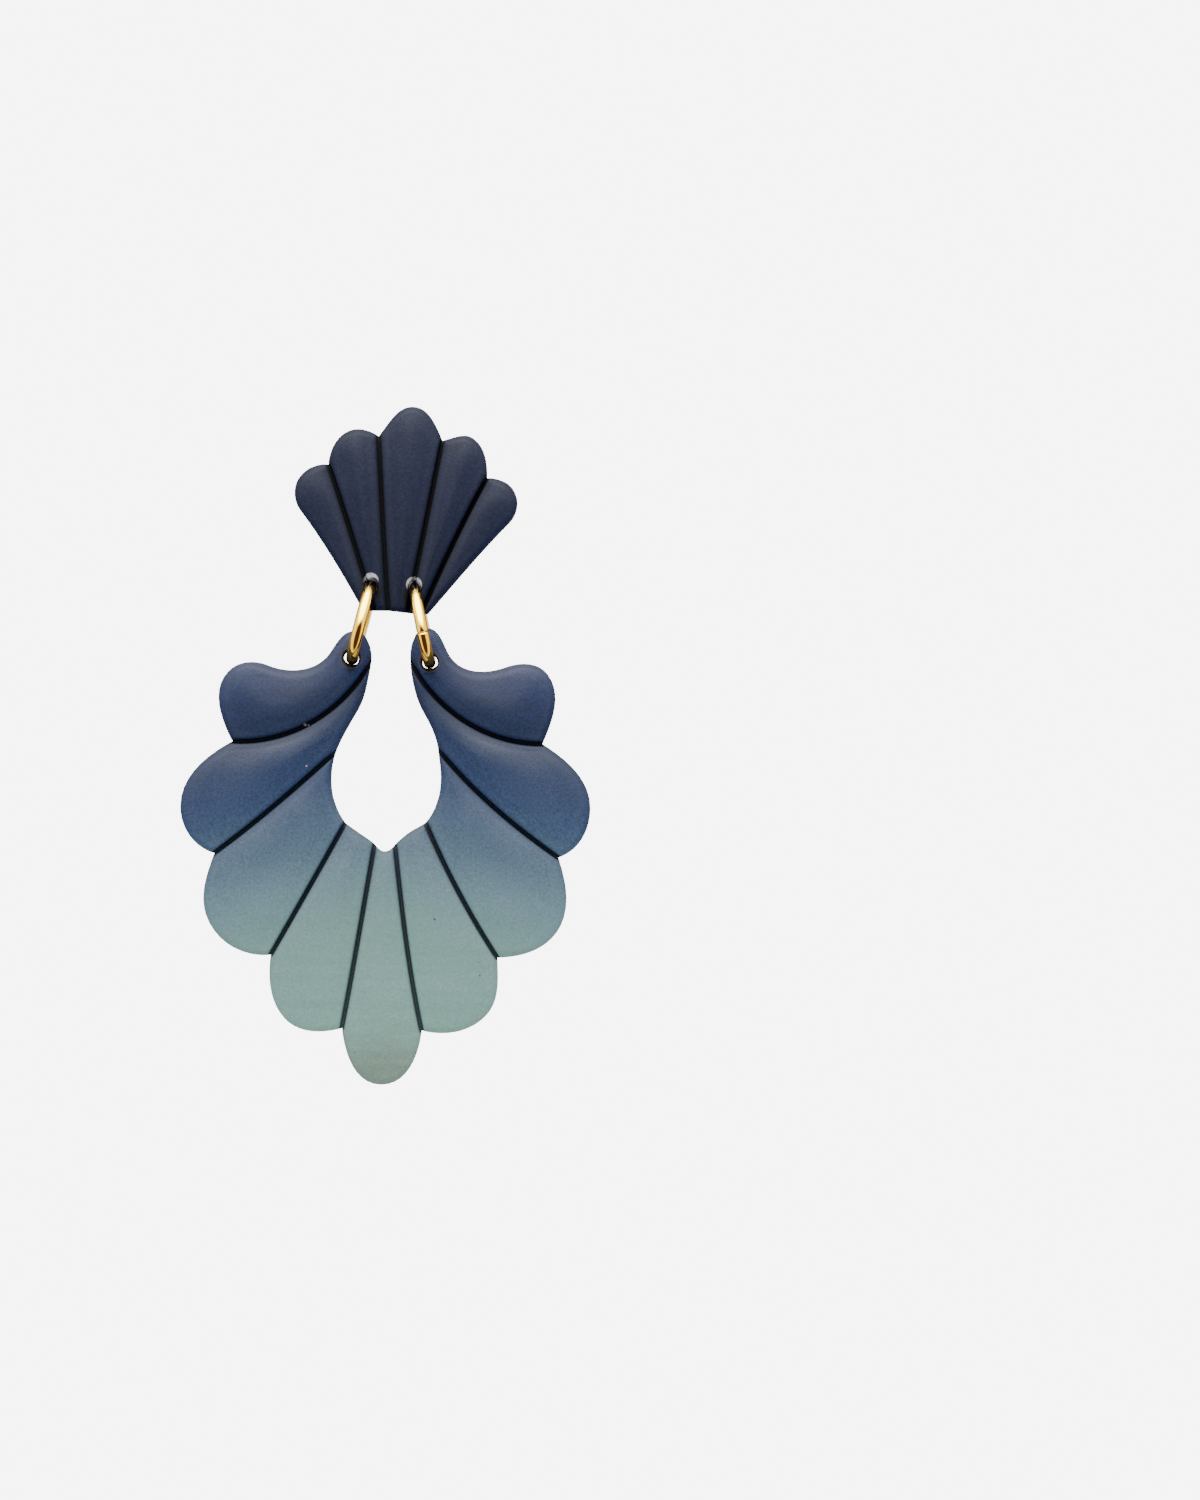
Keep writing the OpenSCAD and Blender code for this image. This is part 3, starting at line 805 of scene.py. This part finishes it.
# Navy in the arms, blue-grey from the middle of the window down, and palest above the lowest tip
BLEND = [
    (0.36, (0.0115, 0.019, 0.055)),
    (0.42, (0.0052, 0.0105, 0.0385)),
    (0.46, (0.005, 0.0102, 0.03)),
    (0.54, (0.0098, 0.0196, 0.053)),
    (0.575, (0.0155, 0.029, 0.065)),
    (0.625, (0.031, 0.0535, 0.087)),
    (0.66, (0.041, 0.07, 0.1)),
    (0.71, (0.068, 0.115, 0.137)),
    (0.78, (0.092, 0.162, 0.152)),
    (0.86, (0.105, 0.187, 0.168)),
    (0.93, (0.11, 0.193, 0.169)),
    # The last stop darkens the lowest tip: painted shade
    (1.0, (0.098, 0.144, 0.116)),
]
# Painted shade in the grooves and holes, by height
SHADE_IN_GROOVES = [
    (0.45, (0.003, 0.004, 0.008)),
    (0.6, (0.007, 0.012, 0.022)),
    (0.7, (0.014, 0.023, 0.035)),
    (0.8, (0.023, 0.037, 0.046)),
    (0.9, (0.036, 0.056, 0.062)),
]
# A painted highlight lines the rims of the holes and a thin ring of painted shade lies just inside them,
# and a few specks were baked into the front
MOUTH_HIGHLIGHT = (0.1, 0.08, 0.07)
MOUTH_SHADE = (0.003, 0.002, 0.002)
LINT = (0.35, 0.33, 0.3)
SPECK = (0.02, 0.025, 0.03)
DARK_SPECK = (0.01, 0.012, 0.015)
mouths = [(hole.x + hole.drawn[2][0], hole.z + hole.drawn[2][1]) for hole in drop_holes]
# Painted highlight round each mouth, then painted shade inside it
spots = [(x, z, 0.92, 1.0, 0.25, MOUTH_HIGHLIGHT) for x, z in mouths]
spots += [(x, z, 0.88, 0.92, 1.0, MOUTH_SHADE) for x, z in mouths]
spots += [
    (-8.36, -19.9, 0.09, 0.16, 0.7, LINT),
    (-8.05, -19.95, 0.06, 0.13, 0.5, LINT),
    (-8.19, -23.54, 0.04, 0.1, 0.6, LINT),
    (3.14, -37.08, 0.06, 0.13, 0.8, DARK_SPECK),
    (7.12, -40.9, 0.04, 0.1, 0.6, SPECK),
    (7.12, -42.05, 0.05, 0.12, 0.7, SPECK),
    (-3.94, -48.85, 0.04, 0.1, 0.6, SPECK),
]
drop.data.materials.clear()
drop.data.materials.append(clay_material("blended clay", BLEND, SHADE_IN_GROOVES, spots, shine=0.075))
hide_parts("drop")
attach(drop, "drop")

# Rings
# Two jump rings of round gold-coloured wire. Each is sawn and closed with a butt seam that shows as a
# hairline, and passes through the fan's base and an upper tip of the drop.
WIRE_R = 0.525
RING_OD = 8
RING_MIDDLE_R = RING_OD / 2 - WIRE_R
SEAM = 0.05
SEAM_ANGLE = SEAM / RING_MIDDLE_R
CUT_EASE = 0.12
GOLD = (1.0, 0.64, 0.09, 1)
WIRE_SHADE = (0.02, 0.008, 0.003, 1)
gold, tree, shader = new_material("gold wire")
shader.inputs["Metallic"].default_value = 1
here = add(tree, "ShaderNodeTexCoord").outputs["Object"]
# The wire is darkened with painted shade where it goes into the fan's holes
colour = GOLD
for hole in fan_holes:
    colour = mixed(tree, round_spot(tree, here, hole.x, hole.z, 0.35, 0.95), colour, WIRE_SHADE)
feed(tree, colour, shader.inputs["Base Color"])
scratches = add(tree, "ShaderNodeTexNoise", Vector=here, Scale=3000.0, Detail=3.0)
bump = add(tree, "ShaderNodeBump", Strength=0.03, Distance=0.01 * MM, Height=scratches.outputs["Fac"])
feed(tree, bump.outputs["Normal"], shader.inputs["Normal"])
# The inner side of a ring is worn dull
worn = add(tree, "ShaderNodeAttribute", attribute_name="worn").outputs["Fac"]
feed(tree, reckon(tree, "MULTIPLY", worn, 0.35), shader.inputs["Roughness"])

for side, (x, z, lean, seam) in RINGS.items():
    # The wire is drawn round from one side of its seam to the other, and its cut ends are eased
    bm = bmesh.new()
    cut_end = bmesh.ops.create_circle(bm, radius=WIRE_R, segments=48)["verts"]
    bmesh.ops.transform(bm, verts=cut_end, matrix=Matrix.Translation((0, -RING_MIDDLE_R, 0)))
    bmesh.ops.transform(bm, verts=cut_end, matrix=Matrix.Rotation(SEAM_ANGLE / 2, 4, "X"))
    bmesh.ops.spin(
        bm,
        geom=cut_end + list(bm.edges),
        cent=(0, 0, 0),
        axis=(1, 0, 0),
        angle=2 * math.pi - SEAM_ANGLE,
        steps=200,
        use_merge=False,
    )
    bmesh.ops.holes_fill(bm, edges=[edge for edge in bm.edges if edge.is_boundary], sides=0)
    bmesh.ops.recalc_face_normals(bm, faces=bm.faces)
    bmesh.ops.bevel(
        bm,
        geom=[edge for edge in bm.edges if edge.calc_face_angle(0) > 1],
        offset=CUT_EASE,
        offset_type="OFFSET",
        segments=4,
        profile=0.5,
        affect="EDGES",
        material=-1,
    )
    bmesh.ops.transform(bm, verts=bm.verts, matrix=Matrix.Rotation(math.radians(seam), 4, "X"))
    inner_side = bm.verts.layers.float.new("worn")
    for v in bm.verts:
        v[inner_side] = 1.0 if math.hypot(v.co.y, v.co.z) < RING_MIDDLE_R - 0.1 else 0.0
    bmesh.ops.transform(bm, verts=bm.verts, matrix=Matrix.Rotation(math.radians(lean), 4, "Y"))
    bmesh.ops.transform(bm, verts=bm.verts, matrix=Matrix.Translation((x, CLAY_MIDDLE, z)))
    wire = shown(bm, f"ring_{side}_wire")
    wire.data.shade_smooth()
    wire.data.set_sharp_from_angle(angle=math.radians(50))
    wire.data.materials.append(gold)
    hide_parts(f"ring_{side}")
    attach(wire, "stud")

# Ear post
# A turned steel post on a flat round pad, glued to the middle of the fan's back. A shallow ring is cut near
# the rounded tip of the post.
PAD_T = 0.5
PAD_R = 2.5
POST_R = 0.4
POST_LONG = 11
steel, tree, shader = new_material("steel")
shader.inputs["Base Color"].default_value = (0.4, 0.4, 0.41, 1)
shader.inputs["Metallic"].default_value = 1
shader.inputs["Roughness"].default_value = 0.3
profile = [(0, -PAD_T), (PAD_R - 0.08, -PAD_T), (PAD_R, 0.08 - PAD_T)]
profile += [(PAD_R, -0.1), (PAD_R - 0.03, -0.03), (PAD_R - 0.1, 0)]
profile += [(POST_R + 0.15, 0), (POST_R + 0.03, 0.04), (POST_R, 0.15)]
profile += [(POST_R, POST_LONG - 1.4), (POST_R - 0.04, POST_LONG - 1.32)]
profile += [(POST_R - 0.04, POST_LONG - 1.1), (POST_R, POST_LONG - 1.02)]
profile += [(POST_R, POST_LONG - 0.2), (POST_R - 0.05, POST_LONG - 0.08)]
profile += [(POST_R / 2, POST_LONG - 0.01), (0, POST_LONG)]
post = shown(turned(profile, 0, 0, 64), "ear_post_steel")
post.data.shade_smooth()
post.data.set_sharp_from_angle(angle=math.radians(35))
post.data.materials.append(steel)
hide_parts("ear_post")
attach(post, "stud")
